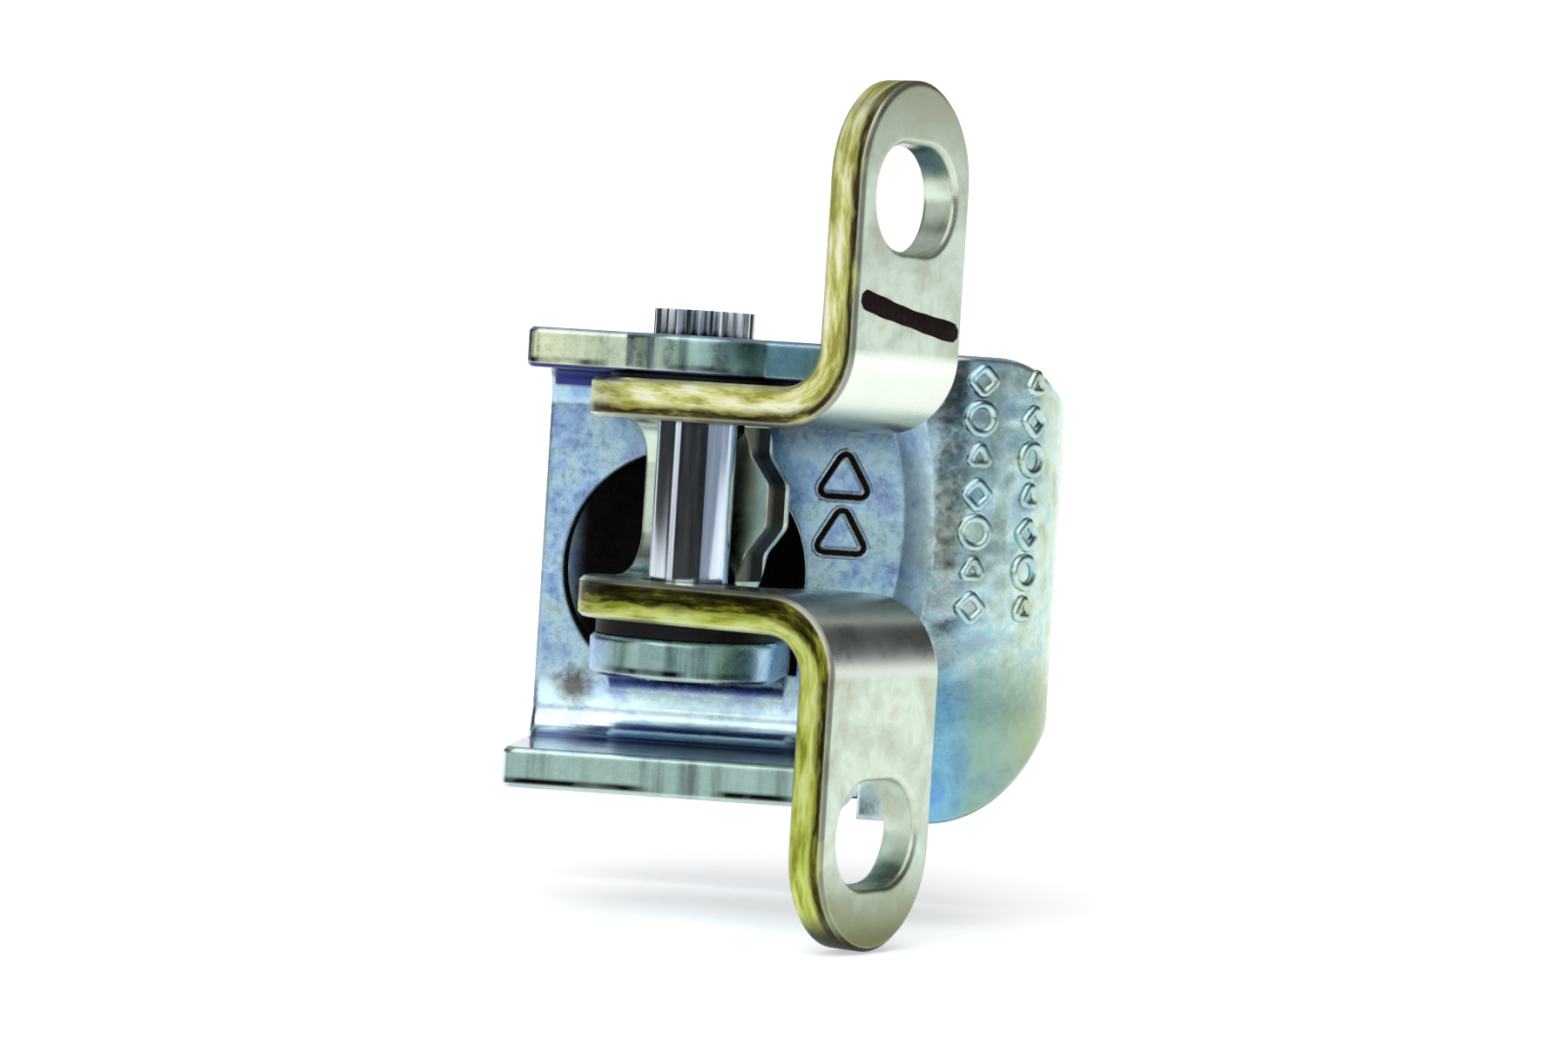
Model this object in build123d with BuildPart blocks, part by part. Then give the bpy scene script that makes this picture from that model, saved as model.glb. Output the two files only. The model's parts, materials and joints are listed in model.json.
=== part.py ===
"""Trunk lid hinge: a tab bracket and a channel bracket, both folded from sheet steel, turning on one pin."""

import os
from math import cos, radians, sin

from build123d import *

# Driving sizes in millimetres. The pin axis is vertical, and each bracket is measured from the pin: x along
# the bracket, y back, heights from the middle of the gap between the tab bracket's ears.
sheet = 4.0
edge_break = 0.4
rest_turn = -28.0

# Hinge pin
pin_r = 4.0
head_r = 5.0
head_height = 2.6
head_teeth = 26
tooth_depth = 0.7
tail_length = 0.5
pin_chamfer = 0.4

# Bushes
running_gap = 0.03
bush_r = 4.8
collar_r = 9.0
upper_collar = 0.45
upper_play = 0.05
lower_collar = 1.5
lower_play = 0.1

# Tab bracket
ear_half_gap = 8.0
ear_half_width = 10.0
ear_left = -10.9
tab_reach = 24.0
tab_tip = 42.5
fold_r = 4.0
slot_height = 31.0
slot_length = 14.5
slot_width = 10.5
yoke_r = 4.4
yoke_start = 1.0
yoke_left = -10.0
yoke_right = 5.4
yoke_neck_right = 3.2
yoke_bulge_half = 2.2
yoke_neck_half = 5.0
neck_r = 1.5
relief_right = 9.0
relief_r = 1.5

# Channel bracket
web_front = 14.3
channel_left = -16.9
channel_bottom = -29.3
flange_front = -6.5
flange_fold_r = 3.5
flange_corner_r = 1.5
top_flange_right = 15.0
bottom_flange_right = 17.5
round_ear_r = 9.5
ear_blend_r = 2.0
tongue_fold_r = 3.0
window_r = 12.6
window_x = -2.0
window_height = -7.5
lance_gap = 0.8

# Nose and leaf of the channel bracket
step_rise = 1.6
step_r = 36.0
step_slope = 3.6
step_x = -12.0
step_height = -2.0
step_overlap = 2.0
nose_start = 21.6
nose_r = 14.4
nose_bottom = -31.8
corner_beyond = 1.0
upper_corner = (8.0, 8.5)
lower_corner = (12.5, 16.0)
leaf_left = -19.5
leaf_corner_r = 6.0
leaf_hole_r = 4.5
leaf_hole_x = 3.0
leaf_hole_spacing = 28.0

# Sizes that follow from those above
ear_outside = ear_half_gap + sheet
upper_ear_bottom = ear_outside + upper_collar + upper_play
channel_top = upper_ear_bottom + sheet
tongue_top = -ear_outside - lower_collar - lower_play
tongue_bottom = tongue_top - sheet
web_back = web_front + sheet
step_front = web_front - step_rise
leaf_back = step_front + 2 * nose_r
leaf_height = (channel_top + channel_bottom) / 2

# The origin is the middle of the leaf's two bolt holes, on the leaf's outer face.
pin_x = -leaf_hole_x
pin_y = -leaf_back
pin_z = -leaf_height


def plan_plane(turn, height=0.0):
    """A level plane on the pin axis: x runs along a bracket turned by this angle, y runs back."""
    along = (cos(radians(turn)), sin(radians(turn)), 0)
    return Plane(origin=(pin_x, pin_y, pin_z + height), x_dir=along, z_dir=(0, 0, 1))


def front_plane(turn):
    """An upright plane through the pin axis, seen from the front of a bracket turned by this angle."""
    along = (cos(radians(turn)), sin(radians(turn)), 0)
    return Plane(origin=(pin_x, pin_y, pin_z), x_dir=along, z_dir=(along[1], -along[0], 0))


def side_plane(turn):
    """An upright plane through the pin axis, across a bracket turned by this angle: x runs back, y up."""
    along = (cos(radians(turn)), sin(radians(turn)), 0)
    return Plane(origin=(pin_x, pin_y, pin_z), x_dir=(-along[1], along[0], 0), z_dir=along)


def sharp_edges(part, joints=()):
    """The edges of a part where two faces meet at an angle.

    Smooth joins are left out, and so are edges that lie in one of the joint planes, where the part runs on.
    """
    faces = part.faces()
    kept = ShapeList()
    for edge in part.edges():
        ends = [edge.position_at(share) for share in (0, 0.5, 1)]
        if any(all(abs(joint.to_local_coords(end).Z) < 0.01 for end in ends) for joint in joints):
            continue
        sides = [face for face in faces if any(edge.is_same(other) for other in face.edges())]
        if len(sides) == 2 and sides[0].normal_at(ends[1]).dot(sides[1].normal_at(ends[1])) < 0.5:
            kept.append(edge)
    return kept


# Tab bracket: each ear turns outwards into a tab, and the yoke joins the ears behind the pin.
fold_x = tab_reach - fold_r - sheet
fold_height = ear_outside + fold_r
yoke_outer_r = yoke_r + sheet
yoke_centre = ear_half_gap - yoke_r

yoke_joint = front_plane(rest_turn).offset(-yoke_start)
side_axis = Axis((0, 0, 0), side_plane(rest_turn).z_dir)
back_axis = Axis((0, 0, 0), side_plane(rest_turn).x_dir)

with BuildPart() as strip:
    with BuildSketch(front_plane(rest_turn)):
        with BuildLine():
            Line((ear_left, ear_half_gap), (fold_x, ear_half_gap))
            CenterArc((fold_x, fold_height), fold_r + sheet, -90, 90)
            Line((tab_reach, fold_height), (tab_reach, tab_tip))
            Line((tab_reach, tab_tip), (tab_reach - sheet, tab_tip))
            Line((tab_reach - sheet, tab_tip), (tab_reach - sheet, fold_height))
            CenterArc((fold_x, fold_height), fold_r, 0, -90)
            Line((fold_x, ear_outside), (ear_left, ear_outside))
            Line((ear_left, ear_outside), (ear_left, ear_half_gap))
        make_face()
    extrude(amount=ear_half_width, both=True)

    # Full-round tab end and the adjusting slot across the tab
    with BuildSketch(side_plane(rest_turn)):
        Rectangle(2 * ear_half_width, tab_tip - ear_half_width, align=(Align.CENTER, Align.MIN))
        with Locations((0, tab_tip - ear_half_width)):
            Circle(ear_half_width)
    extrude(amount=tab_reach + sheet, both=True, mode=Mode.INTERSECT)
    with BuildSketch(side_plane(rest_turn)):
        with Locations((0, slot_height)):
            SlotOverall(slot_length, slot_width)
    extrude(amount=tab_reach + sheet, mode=Mode.SUBTRACT)

    # Ear outline: round front corner, and a relief where the yoke bends away
    with BuildSketch(plan_plane(rest_turn)) as relief:
        with Locations((relief_right, yoke_start)):
            Rectangle(2 * tab_reach, 2 * ear_half_width, align=(Align.MAX, Align.MIN))
        fillet(relief.vertices().group_by(Axis.X)[-1].sort_by(Axis.Y)[0], relief_r)
    extrude(amount=tab_tip, mode=Mode.SUBTRACT)
    left_end = strip.edges().filter_by(Axis.Z).sort_by(side_axis)[:2]
    fillet(left_end.sort_by(back_axis)[0], ear_half_width - edge_break)
    chamfer(sharp_edges(strip.part, [yoke_joint]), edge_break)

with BuildPart() as yoke:
    with BuildSketch(side_plane(rest_turn).offset(yoke_left)):
        with BuildLine():
            CenterArc((yoke_start, yoke_centre), yoke_outer_r, 90, -90)
            Line((yoke_start + yoke_outer_r, yoke_centre), (yoke_start + yoke_outer_r, -yoke_centre))
            CenterArc((yoke_start, -yoke_centre), yoke_outer_r, 0, -90)
            Line((yoke_start, -ear_outside), (yoke_start, -ear_half_gap))
            CenterArc((yoke_start, -yoke_centre), yoke_r, -90, 90)
            Line((yoke_start + yoke_r, -yoke_centre), (yoke_start + yoke_r, yoke_centre))
            CenterArc((yoke_start, yoke_centre), yoke_r, 0, 90)
            Line((yoke_start, ear_half_gap), (yoke_start, ear_outside))
        make_face()
    extrude(amount=yoke_right + sheet - yoke_left)
    chamfer(sharp_edges(yoke.part, [yoke_joint]), edge_break)

    # The right edge is necked in beside both bends and bulges between them
    with BuildSketch(front_plane(rest_turn)):
        with BuildLine():
            FilletPolyline(
                (yoke_left - sheet, -fold_height),
                (yoke_neck_right, -fold_height),
                (yoke_neck_right, -yoke_neck_half),
                (yoke_right, -yoke_bulge_half),
                (yoke_right, yoke_bulge_half),
                (yoke_neck_right, yoke_neck_half),
                (yoke_neck_right, fold_height),
                (yoke_left - sheet, fold_height),
                radius=neck_r,
                close=True,
            )
        make_face()
    extrude(amount=ear_half_width + sheet, both=True, mode=Mode.INTERSECT)

# The lower ear and tab mirror the upper ones, and the bush seats are bored through both ears.
with BuildPart() as tab_bracket:
    add(strip.part)
    mirror(about=plan_plane(rest_turn))
    add(yoke.part)
    with BuildSketch(plan_plane(rest_turn)):
        Circle(bush_r)
    extrude(amount=tab_tip, both=True, mode=Mode.SUBTRACT)

# Nose: the right end of the channel's web slopes forward along an arc and rolls back into the leaf behind.
nose_centre = (nose_start, step_front + nose_r)
outline_right = nose_start + nose_r + corner_beyond
leaf_front = leaf_back - sheet
upper_centre = (outline_right - upper_corner[0], channel_top - upper_corner[1])
lower_centre = (outline_right - lower_corner[0], nose_bottom + lower_corner[1])
plate_left = top_flange_right
plate_bottom = channel_bottom + flange_fold_r + sheet
plate_joint = side_plane(0).offset(plate_left)

with BuildPart() as nose:
    with BuildSketch(plan_plane(0, nose_bottom)):
        with BuildLine():
            Line((plate_left, step_front), (nose_start, step_front))
            CenterArc(nose_centre, nose_r, -90, 180)
            Line((nose_start, leaf_back), (leaf_left, leaf_back))
            Line((leaf_left, leaf_back), (leaf_left, leaf_front))
            Line((leaf_left, leaf_front), (nose_start, leaf_front))
            CenterArc(nose_centre, nose_r - sheet, 90, -180)
            Line((nose_start, step_front + sheet), (plate_left, step_front + sheet))
            Line((plate_left, step_front + sheet), (plate_left, step_front))
        make_face()
    extrude(amount=channel_top - nose_bottom)

    # Outline seen from the front: a wide lower corner and a tighter upper one on the nose
    with BuildSketch(front_plane(0)) as outline:
        with BuildLine():
            Line((leaf_left, channel_top), (upper_centre[0], channel_top))
            EllipticalCenterArc(upper_centre, *upper_corner, start_angle=0, arc_size=90)
            Line((outline_right, upper_centre[1]), (outline_right, lower_centre[1]))
            EllipticalCenterArc(lower_centre, *lower_corner, start_angle=270, arc_size=90)
            Line((lower_centre[0], nose_bottom), (leaf_left, nose_bottom))
            Line((leaf_left, nose_bottom), (leaf_left, channel_top))
        make_face()
        fillet(outline.vertices().group_by(Axis.X)[0], leaf_corner_r)
    extrude(amount=-2 * leaf_back, mode=Mode.INTERSECT)
    chamfer(sharp_edges(nose.part, [plate_joint]), edge_break)

    # Inside the step's sloped arc, and beside the lower fold, the web stays at its own level
    with BuildSketch(front_plane(0)):
        with Locations((step_x, step_height)):
            Circle(step_r - step_slope)
        with Locations((bottom_flange_right, plate_bottom)):
            Rectangle(step_r, step_r, align=(Align.MAX, Align.MAX))
    extrude(amount=-nose_centre[1], mode=Mode.SUBTRACT)
    with Locations(front_plane(0).offset(-web_front) * Pos(step_x, step_height)):
        Cone(
            step_r - step_slope,
            step_r,
            step_rise,
            align=(Align.CENTER, Align.CENTER, Align.MIN),
            mode=Mode.SUBTRACT,
        )

    # Bolt holes in the leaf
    with BuildSketch(front_plane(0)):
        with Locations((leaf_hole_x, leaf_height)):
            with GridLocations(0, leaf_hole_spacing, 1, 2):
                Circle(leaf_hole_r)
    extrude(amount=-2 * leaf_back, mode=Mode.SUBTRACT)

# Flat flanges of the channel: the top one carries the round ear that holds the pin.
fold_front = web_front - flange_fold_r
flange_depth = fold_front - flange_front
flange_joint = front_plane(0).offset(-fold_front)

with BuildPart() as top_flange:
    with BuildSketch(plan_plane(0, upper_ear_bottom)) as top_outline:
        with Locations((channel_left, flange_front)):
            Rectangle(top_flange_right - channel_left, flange_depth, align=(Align.MIN, Align.MIN))
        fillet(top_outline.vertices().group_by(Axis.Y)[0], flange_corner_r)
        Circle(round_ear_r)
        front_line = top_outline.vertices().filter_by_position(Axis.Y, flange_front, flange_front)
        fillet(front_line.sort_by_distance((0, flange_front))[:2], ear_blend_r)
    extrude(amount=sheet)
    chamfer(sharp_edges(top_flange.part, [flange_joint]), edge_break)

with BuildPart() as bottom_flange:
    with BuildSketch(plan_plane(0, channel_bottom)) as bottom_outline:
        with Locations((channel_left, flange_front)):
            Rectangle(bottom_flange_right - channel_left, flange_depth, align=(Align.MIN, Align.MIN))
        fillet(bottom_outline.vertices().group_by(Axis.Y)[0], flange_corner_r)
    extrude(amount=sheet)
    chamfer(sharp_edges(bottom_flange.part, [flange_joint]), edge_break)

# Tongue lanced out of the web and bent forward, with its round end on the pin.
tongue_fold_height = tongue_bottom - tongue_fold_r
tongue_fold_y = web_front - tongue_fold_r
tongue_joint = plan_plane(0, tongue_fold_height)

with BuildPart() as tongue:
    with BuildSketch(side_plane(0).offset(-round_ear_r)):
        with BuildLine():
            Line((0, tongue_bottom), (tongue_fold_y, tongue_bottom))
            CenterArc((tongue_fold_y, tongue_fold_height), tongue_fold_r, 90, -90)
            Line((web_front, tongue_fold_height), (web_back, tongue_fold_height))
            CenterArc((tongue_fold_y, tongue_fold_height), tongue_fold_r + sheet, 0, 90)
            Line((tongue_fold_y, tongue_top), (0, tongue_top))
            Line((0, tongue_top), (0, tongue_bottom))
        make_face()
    extrude(amount=2 * round_ear_r)
    with BuildSketch(plan_plane(0, tongue_bottom)):
        Circle(round_ear_r)
    extrude(amount=sheet)
    chamfer(sharp_edges(tongue.part, [tongue_joint]), edge_break)

# Channel bracket: the web with the fold into each flange, and everything that grows from it.
fold_outer_r = flange_fold_r + sheet
right_joint = side_plane(0).offset(bottom_flange_right)

with BuildPart() as channel_bracket:
    with BuildSketch(side_plane(0).offset(channel_left)) as section:
        with Locations((web_back, channel_bottom)):
            Rectangle(web_back - fold_front, channel_top - channel_bottom, align=(Align.MAX, Align.MIN))
        fillet(section.vertices().group_by(Axis.X)[-1], fold_outer_r)
        with BuildSketch(mode=Mode.SUBTRACT) as hollow:
            with Locations((web_front, channel_bottom + sheet)):
                Rectangle(
                    2 * web_front, channel_top - channel_bottom - 2 * sheet, align=(Align.MAX, Align.MIN)
                )
            fillet(hollow.vertices().group_by(Axis.X)[-1], flange_fold_r)
    extrude(amount=bottom_flange_right - channel_left)
    chamfer(sharp_edges(channel_bracket.part, [flange_joint, right_joint]), edge_break)

    # The top fold ends where the top flange does
    with BuildSketch(front_plane(0)):
        with Locations((top_flange_right, channel_top - fold_outer_r)):
            Rectangle(fold_outer_r, 2 * fold_outer_r, align=(Align.MIN, Align.MIN))
    extrude(amount=-2 * web_back, mode=Mode.SUBTRACT)

    # Web out to the step, then the nose, the leaf and the flanges
    with BuildSketch(front_plane(0).offset(-web_front)):
        with Locations((step_x, step_height)):
            Circle(step_r + step_overlap)
        with Locations((plate_left, plate_bottom)):
            Rectangle(
                step_r, channel_top - plate_bottom, align=(Align.MIN, Align.MIN), mode=Mode.INTERSECT
            )
    extrude(amount=-sheet)
    add(nose.part)
    add(top_flange.part)
    add(bottom_flange.part)

    # Window left in the web by the tongue, then the tongue itself
    with BuildSketch(front_plane(0)):
        with Locations((window_x, window_height)):
            Circle(window_r)
        with Locations((0, window_height)):
            Rectangle(
                2 * (round_ear_r + lance_gap),
                window_height - tongue_bottom,
                align=(Align.CENTER, Align.MAX),
            )
    extrude(amount=-web_back - sheet, mode=Mode.SUBTRACT)
    add(tongue.part)

    # Pin holes through both ears
    with BuildSketch(tongue_joint):
        Circle(pin_r)
    extrude(amount=2 * channel_top - tongue_fold_height, mode=Mode.SUBTRACT)

# Hinge pin: plain shaft with a serrated head above the top flange
with BuildPart() as hinge_pin:
    with BuildSketch(plan_plane(0, tongue_bottom - tail_length)):
        Circle(pin_r)
    extrude(amount=channel_top - tongue_bottom + tail_length)
    chamfer(hinge_pin.edges().sort_by(Axis.Z)[0], pin_chamfer)
    with BuildSketch(plan_plane(0, channel_top)):
        Circle(head_r)
        with PolarLocations(head_r, head_teeth):
            Rectangle(tooth_depth, tooth_depth, rotation=45, mode=Mode.SUBTRACT)
    extrude(amount=head_height)

# Flanged bushes, one in each ear of the tab bracket
with BuildPart() as upper_bush:
    with BuildSketch(plan_plane(rest_turn, ear_half_gap)):
        Circle(bush_r)
    extrude(amount=sheet)
    with BuildSketch(plan_plane(rest_turn, ear_outside)):
        Circle(collar_r)
    extrude(amount=upper_collar)
    with BuildSketch(plan_plane(rest_turn)):
        Circle(pin_r + running_gap)
    extrude(amount=channel_top, mode=Mode.SUBTRACT)

with BuildPart() as lower_bush:
    with BuildSketch(plan_plane(rest_turn, -ear_half_gap)):
        Circle(bush_r)
    extrude(amount=-sheet)
    with BuildSketch(plan_plane(rest_turn, -ear_outside)):
        Circle(collar_r)
    extrude(amount=-lower_collar)
    with BuildSketch(plan_plane(rest_turn)):
        Circle(pin_r + running_gap)
    extrude(amount=-channel_top, mode=Mode.SUBTRACT)

os.makedirs("parts", exist_ok=True)
tab_bracket.part.label = "tab_bracket"
export_step(tab_bracket.part, "parts/tab_bracket.step")
channel_bracket.part.label = "channel_bracket"
export_step(channel_bracket.part, "parts/channel_bracket.step")
hinge_pin.part.label = "hinge_pin"
export_step(hinge_pin.part, "parts/hinge_pin.step")
upper_bush.part.label = "upper_bush"
export_step(upper_bush.part, "parts/upper_bush.step")
lower_bush.part.label = "lower_bush"
export_step(lower_bush.part, "parts/lower_bush.step")
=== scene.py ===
"""Looks of a trunk lid hinge: two plated brackets on a bright pin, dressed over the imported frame."""

import json
import logging
import math
from collections.abc import Callable
from dataclasses import dataclass
from enum import Enum
from functools import partial

import bmesh
import bpy
from mathutils import Matrix, Vector


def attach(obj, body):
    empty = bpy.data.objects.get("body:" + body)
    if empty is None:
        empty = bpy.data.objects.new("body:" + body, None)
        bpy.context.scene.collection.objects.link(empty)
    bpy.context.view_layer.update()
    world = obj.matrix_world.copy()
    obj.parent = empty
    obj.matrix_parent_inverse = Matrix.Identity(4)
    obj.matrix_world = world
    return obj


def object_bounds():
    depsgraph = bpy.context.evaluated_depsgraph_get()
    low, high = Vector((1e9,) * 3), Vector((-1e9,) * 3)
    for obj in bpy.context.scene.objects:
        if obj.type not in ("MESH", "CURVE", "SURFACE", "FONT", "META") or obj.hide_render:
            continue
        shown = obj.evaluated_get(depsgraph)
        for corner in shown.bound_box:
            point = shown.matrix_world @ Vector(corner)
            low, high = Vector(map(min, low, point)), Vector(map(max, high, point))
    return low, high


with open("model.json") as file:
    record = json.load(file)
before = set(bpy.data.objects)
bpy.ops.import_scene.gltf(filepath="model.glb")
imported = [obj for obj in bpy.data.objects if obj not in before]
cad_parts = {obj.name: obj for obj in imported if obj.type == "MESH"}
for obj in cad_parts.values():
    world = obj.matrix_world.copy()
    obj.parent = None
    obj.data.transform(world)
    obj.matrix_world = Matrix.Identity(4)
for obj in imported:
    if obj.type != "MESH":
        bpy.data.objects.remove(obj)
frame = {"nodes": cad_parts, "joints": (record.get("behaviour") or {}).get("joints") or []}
cad_low, cad_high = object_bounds()

LOG = logging.getLogger("trunk_lid_hinge")
MM = 0.001
HINGE = frame["joints"][0]
PIN = Vector(HINGE["pos_m"])
REST_TURN = math.radians(-HINGE["range_deg"][1])

# Node settings and shares that several finishes use
TIMES = {"operation": "MULTIPLY"}
PLUS = {"operation": "ADD"}
SCALE_AND_ADD = {"operation": "MULTIPLY_ADD"}
CLAMPED_MINUS = {"operation": "SUBTRACT", "use_clamp": True}
LARGER = {"operation": "MAXIMUM"}
SMALLER = {"operation": "MINIMUM"}
SIZE = {"operation": "ABSOLUTE"}
LENGTH = {"operation": "LENGTH"}
BLEND = {"data_type": "RGBA"}
TINT = {"data_type": "RGBA", "blend_type": "MULTIPLY"}
FULL_TINT = {**TINT, "Factor": 1.0}
SMOOTH = {"interpolation_type": "SMOOTHSTEP"}
NOISE_MIDDLE = (0.3, 0.7)
EDGE_AGREEMENT = (0.98, 0.8)
EDGE_SAMPLES = 6
SHADE_SAMPLES = 8
GRAIN_DEPTH = 0.02 * MM

Adder = Callable[..., bpy.types.Node]
Source = bpy.types.Node | bpy.types.NodeSocket
Stops = tuple[tuple[float, str], ...]
Pair = tuple[float, float]


class Body(Enum):
    """CAD bodies that a piece can ride on."""

    CHANNEL = "channel"
    TABS = "tabs"


class Slot(Enum):
    """Material slots of the record."""

    BLUE_ZINC = "blue_zinc_steel"


def to_linear(colour: str) -> tuple[float, float, float, float]:
    """Turns an sRGB hex colour into linear light.

    Args:
        colour: Six hex digits after a hash sign.

    Returns:
        Red, green, blue and an alpha of one.
    """
    shares = [int(colour[i : i + 2], 16) / 255 for i in (1, 3, 5)]
    linear = [s / 12.92 if s <= 0.04045 else ((s + 0.055) / 1.055) ** 2.4 for s in shares]
    return (*linear, 1.0)


def span(limits: Pair, unit: float = MM) -> dict[str, float]:
    """Gives the settings for the range that a value comes from.

    Args:
        limits: Values that give nothing and everything, in that order.
        unit: Size of one in the limits, which is a millimetre unless they are plain shares.

    Returns:
        The settings by socket name.
    """
    return {"From Min": limits[0] * unit, "From Max": limits[1] * unit}


def add_node(
    tree: bpy.types.NodeTree, kind: str, settings: dict | None = None, links: dict | None = None
) -> bpy.types.Node:
    """Adds a node with its settings and links.

    Args:
        tree: Node tree that gets the node.
        kind: Blender's name of the node type, after its usual start.
        settings: Values by property name, or by name or number of an input socket. The key stops holds
            places from 0 to 1 with their sRGB hex colours, in rising order.
        links: Output sockets, or nodes for their first output in use, by name or number of the input socket.

    Returns:
        The new node.
    """
    node = tree.nodes.new("ShaderNode" + kind)
    for key, value in (settings or {}).items():
        if key == "stops":
            elements = node.color_ramp.elements
            while len(elements) < len(value):
                elements.new(1.0)
            for element, (place, colour) in zip(elements, value):
                element.position = place
                element.color = to_linear(colour)
        elif isinstance(key, str) and hasattr(node, key):
            setattr(node, key, value)
        else:
            node.inputs[key].default_value = value
    for key, source in (links or {}).items():
        if isinstance(source, bpy.types.Node):
            source = next(socket for socket in source.outputs if socket.enabled)
        tree.links.new(source, node.inputs[key])
    return node


def start_material(name: str) -> tuple[bpy.types.Material, Adder]:
    """Starts an empty material.

    Args:
        name: What the surface is made of and how it was finished.

    Returns:
        The material, and add_node bound to its tree.
    """
    material = bpy.data.materials.new(name)
    material.use_nodes = True
    material.node_tree.nodes.clear()
    return material, partial(add_node, material.node_tree)


def from_noise(limits: Pair) -> dict[str, float]:
    """Gives the settings that turn a noise into a value between two limits.

    Args:
        limits: Values where the noise is low and where it is high.

    Returns:
        The settings by socket name.
    """
    return {**span(NOISE_MIDDLE, 1.0), "To Min": limits[0], "To Max": limits[1]}


def add_edge_mask(add: Adder, rounded: Source, share: float) -> Source:
    """Adds a mask of the broken edges, found where a rounded normal leaves the face's own.

    Args:
        add: add_node, bound to the material's tree.
        rounded: The rounded normal.
        share: Value of the mask right on an edge.

    Returns:
        The mask.
    """
    face = add("NewGeometry").outputs["Normal"]
    agreement = add("VectorMath", {"operation": "DOT_PRODUCT"}, {0: rounded, 1: face})
    return add("MapRange", {**span(EDGE_AGREEMENT, 1.0), "To Max": share}, {"Value": agreement})


def add_corner_shade(add: Adder, colour: Source, film: Stops, reach_mm: float) -> Source:
    """Paints shade into a colour in corners and grooves, where other faces stand close.

    Args:
        add: add_node, bound to the material's tree.
        colour: Colour so far.
        film: Painted shade, from the deepest corner to the open face.
        reach_mm: How close another face counts, in millimetres.

    Returns:
        The new colour.
    """
    # Painted shade: darker where other faces stand close.
    shade = add("AmbientOcclusion", {"samples": SHADE_SAMPLES, "Distance": reach_mm * MM})
    tint = add("ValToRGB", {"stops": film}, {"Fac": shade.outputs["AO"]})
    return add("Mix", FULL_TINT, {6: colour, 7: tint})


@dataclass(frozen=True)
class Finish:
    """A finish that is made with one Principled shader.

    Attributes:
        name: What the surface is made of and how it was finished.
    """

    name: str

    def surface(self, add: Adder) -> tuple[dict, dict]:
        """Adds the nodes under the shader.

        Args:
            add: add_node, bound to the material's tree.

        Returns:
            The shader's settings and its links.
        """
        raise NotImplementedError

    def build(self) -> bpy.types.Material:
        """Builds the material.

        Returns:
            The finished material.
        """
        material, add = start_material(self.name)
        shader = add("BsdfPrincipled", *self.surface(add))
        add("OutputMaterial", links={"Surface": shader})
        return material


def dress(node: str, material: bpy.types.Material) -> None:
    """Gives a CAD node its finish.

    Args:
        node: Name of the CAD node.
        material: The finish.
    """
    for slot in frame["nodes"][node].material_slots:
        slot.link = "OBJECT"
        slot.material = material
    LOG.info("%s dressed in %s", node, material.name)


def new_object(name: str, mesh: bmesh.types.BMesh, material: bpy.types.Material) -> bpy.types.Object:
    """Makes a smooth object from a finished mesh.

    Args:
        name: Name of the object.
        mesh: Mesh in the row frame, in metres. It is freed here.
        material: Finish of the object.

    Returns:
        The new object.
    """
    data = bpy.data.meshes.new(name)
    mesh.to_mesh(data)
    mesh.free()
    data.materials.append(material)
    data.shade_smooth()
    thing = bpy.data.objects.new(name, data)
    bpy.context.scene.collection.objects.link(thing)
    return thing


def new_piece(
    name: str, mesh: bmesh.types.BMesh, body: Body, material: bpy.types.Material
) -> None:
    """Makes a piece of the hinge from a finished mesh and sets it on its body.

    Args:
        name: Name of the piece.
        mesh: Mesh in the row frame, in metres. It is freed here.
        body: CAD body that carries the piece.
        material: Finish of the piece.
    """
    bmesh.ops.recalc_face_normals(mesh, faces=mesh.faces)
    piece = new_object(name, mesh, material)
    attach(piece, body.value)
    LOG.info("%s rides on %s", name, body.value)


def rounded_polygon(centre: Vector, reach: float, sides: int, corner_r: float) -> list[Vector]:
    """Gives the outline of a regular polygon with round corners, one corner up.

    Args:
        centre: Middle of the polygon.
        reach: Distance from the middle to a sharp corner.
        sides: Number of sides.
        corner_r: Radius of the corners.

    Returns:
        Points round the outline.
    """
    inset = reach - corner_r / math.cos(math.pi / sides)
    points = []
    for corner in range(sides):
        facing = math.pi / 2 + 2 * math.pi * corner / sides
        for share in (-1.0, -0.5, 0.0, 0.5, 1.0):
            turn = facing + share * math.pi / sides
            arc = corner_r * Vector((math.cos(turn), math.sin(turn)))
            points.append(centre + inset * Vector((math.cos(facing), math.sin(facing))) + arc)
    return points


def add_band(
    mesh: bmesh.types.BMesh,
    path: list[Vector],
    section: list[Pair],
    place: Callable[[float, float, float], Vector],
) -> None:
    """Sweeps a section round a closed path that lies on a surface.

    Args:
        mesh: Mesh that gets the band.
        path: Points of the path as distances across and up the surface.
        section: Points of the section as offsets to the side and heights above the surface.
        place: Turns a distance across, one up and a height into a point of the row frame.
    """
    loops = []
    for before, point, after in zip(path[-1:] + path, path, path[1:] + path[:1]):
        along = (after - before).normalized()
        aside = Vector((along.y, -along.x))
        spots = [(point + offset * aside, lift) for offset, lift in section]
        loops.append([mesh.verts.new(place(spot.x, spot.y, lift)) for spot, lift in spots])
    for first, second in zip(loops, loops[1:] + loops[:1]):
        for i in range(len(section)):
            mesh.faces.new((first[i - 1], first[i], second[i], second[i - 1]))


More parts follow.
